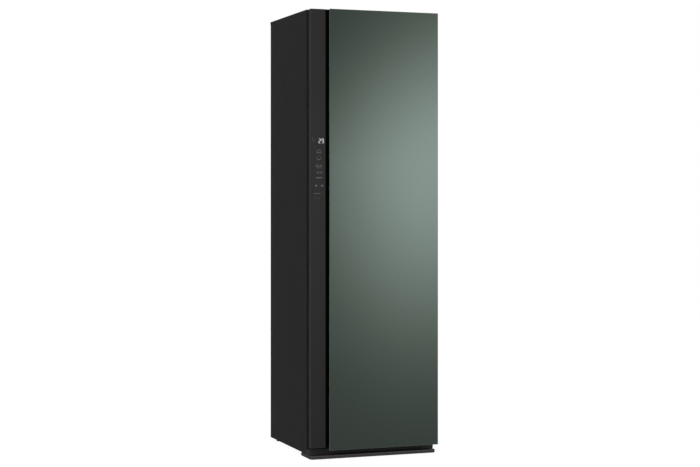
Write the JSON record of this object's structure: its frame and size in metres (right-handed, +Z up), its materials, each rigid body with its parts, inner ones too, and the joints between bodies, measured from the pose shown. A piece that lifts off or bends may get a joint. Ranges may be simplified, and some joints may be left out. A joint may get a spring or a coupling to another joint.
{
  "type": "clothes care steam cabinet",
  "caption": "Tall black clothes care steam cabinet with a green tinted mirror door, control strip, steam cavity and tanks.",
  "frame": {"origin": "on the floor under the middle of the cabinet's outline, at the centre of the box's bottom", "axes": "+X to the right seen from the front, +Y to the back, +Z up"},
  "size_m": [0.595, 0.6, 1.96],
  "materials": {
    "black_casing": "satin",
    "black_plastic": "matte",
    "strip_black": "satin",
    "green_mirror": "gloss",
    "liner_grey": "satin",
    "foam": "matte",
    "zinc_steel": "satin",
    "brushed_steel": "satin",
    "rubber": "matte",
    "copper": "satin",
    "aluminium": "satin",
    "compressor_paint": "satin",
    "tank_smoke": "gloss",
    "press_cloth": "matte",
    "circuit_board": "satin",
    "lamp_white": "satin"
  },
  "bodies": {
    "cabinet": {"side_panel_left": "black_casing", "side_panel_right": "black_casing", "top_panel": "black_casing", "rear_panel": "black_casing", "base_frame": "zinc_steel", "base_plate": "black_plastic", "kick_cover": "black_plastic", "kick_panel": "black_casing", "cavity_liner": "liner_grey", "foam_jacket": "foam", "air_duct": "black_plastic", "floor_grille": "liner_grey", "heat_exchanger": "aluminium", "fan_motor": "brushed_steel", "tank_bay": "liner_grey", "compressor_mount": "rubber", "compressor": "compressor_paint", "steam_generator": "brushed_steel", "steam_pipe": "copper", "refrigerant_pipe": "copper", "drain_pump": "black_plastic", "hanger_guide": "aluminium", "crank_motor": "brushed_steel", "lamp_lens": "lamp_white", "control_board": "circuit_board", "power_inlet": "black_plastic", "top_hinge_bracket": "black_casing", "bottom_hinge_bracket": "black_casing", "top_hinge_pin": "brushed_steel", "bottom_hinge_pin": "brushed_steel"},
    "door": {"door_frame": "black_casing", "top_hinge_bush": "rubber", "bottom_hinge_bush": "rubber", "control_strip": "strip_black", "grip_channel": "black_plastic", "door_foam": "foam", "display_board": "circuit_board", "door_inner_panel": "liner_grey", "door_inner_cover": "liner_grey", "door_gasket": "rubber", "glass_carrier": "black_plastic", "mirror_glass": "green_mirror", "press_board": "press_cloth", "trouser_hook": "brushed_steel", "clip_rail": "aluminium"},
    "press": {"press_plate": "press_cloth"},
    "clip": {"stretch_clip": "black_plastic"},
    "hanger": {"hanger_carriage": "zinc_steel", "hanger_bar": "brushed_steel"},
    "crank": {"crank_disc": "zinc_steel"},
    "fan": {"fan_impeller": "black_plastic"},
    "filter": {"lint_filter": "liner_grey"},
    "aroma": {"aroma_tray": "liner_grey"},
    "shelf": {"shelf": "brushed_steel"},
    "supply_tank": {"supply_tank": "tank_smoke", "supply_tank_lid": "black_plastic"},
    "drain_tank": {"drain_tank": "tank_smoke", "drain_tank_lid": "black_plastic"},
    "rear_foot_left": {"rear_foot_left": "rubber"},
    "rear_foot_right": {"rear_foot_right": "rubber"}
  },
  "joints": [
    {"name": "door_hinge", "type": "hinge", "parent": "cabinet", "child": "door", "pos_m": [0.2855, -0.261, 1], "axis": [0, 0, 1], "range_deg": [0, 110]},
    {"name": "press_hinge", "type": "hinge", "parent": "door", "child": "press", "pos_m": [0.158, -0.1987, 1.09], "axis": [0, 0, -1], "range_deg": [0, 90]},
    {"name": "clip_slide", "type": "slide", "parent": "door", "child": "clip", "axis": [0, 0, 1], "range_m": [0, 0.09]},
    {"name": "hanger_slide", "type": "slide", "parent": "cabinet", "child": "hanger", "axis": [1, 0, 0], "range_m": [-0.018, 0.018]},
    {"name": "crank_spin", "type": "hinge", "parent": "cabinet", "child": "crank", "pos_m": [0, 0, 1.82], "axis": [0, 0, 1], "continuous": true},
    {"name": "fan_spin", "type": "hinge", "parent": "cabinet", "child": "fan", "pos_m": [0, 0.055, 0.4], "axis": [0, 0, 1], "continuous": true},
    {"name": "filter_lift", "type": "slide", "parent": "cabinet", "child": "filter", "axis": [0, 0, 1], "range_m": [0, 0.12]},
    {"name": "aroma_lift", "type": "slide", "parent": "cabinet", "child": "aroma", "axis": [0, 0, 1], "range_m": [0, 0.1]},
    {"name": "shelf_lift", "type": "slide", "parent": "cabinet", "child": "shelf", "axis": [0, 0, 1], "range_m": [0, 0.1]},
    {"name": "supply_tank_slide", "type": "slide", "parent": "cabinet", "child": "supply_tank", "axis": [0, -1, 0], "range_m": [0, 0.045]},
    {"name": "drain_tank_slide", "type": "slide", "parent": "cabinet", "child": "drain_tank", "axis": [0, -1, 0], "range_m": [0, 0.045]},
    {"name": "rear_foot_left_screw", "type": "slide", "parent": "cabinet", "child": "rear_foot_left", "axis": [0, 0, -1], "range_m": [0, 0.012]},
    {"name": "rear_foot_right_screw", "type": "slide", "parent": "cabinet", "child": "rear_foot_right", "axis": [0, 0, -1], "range_m": [0, 0.012]}
  ]
}
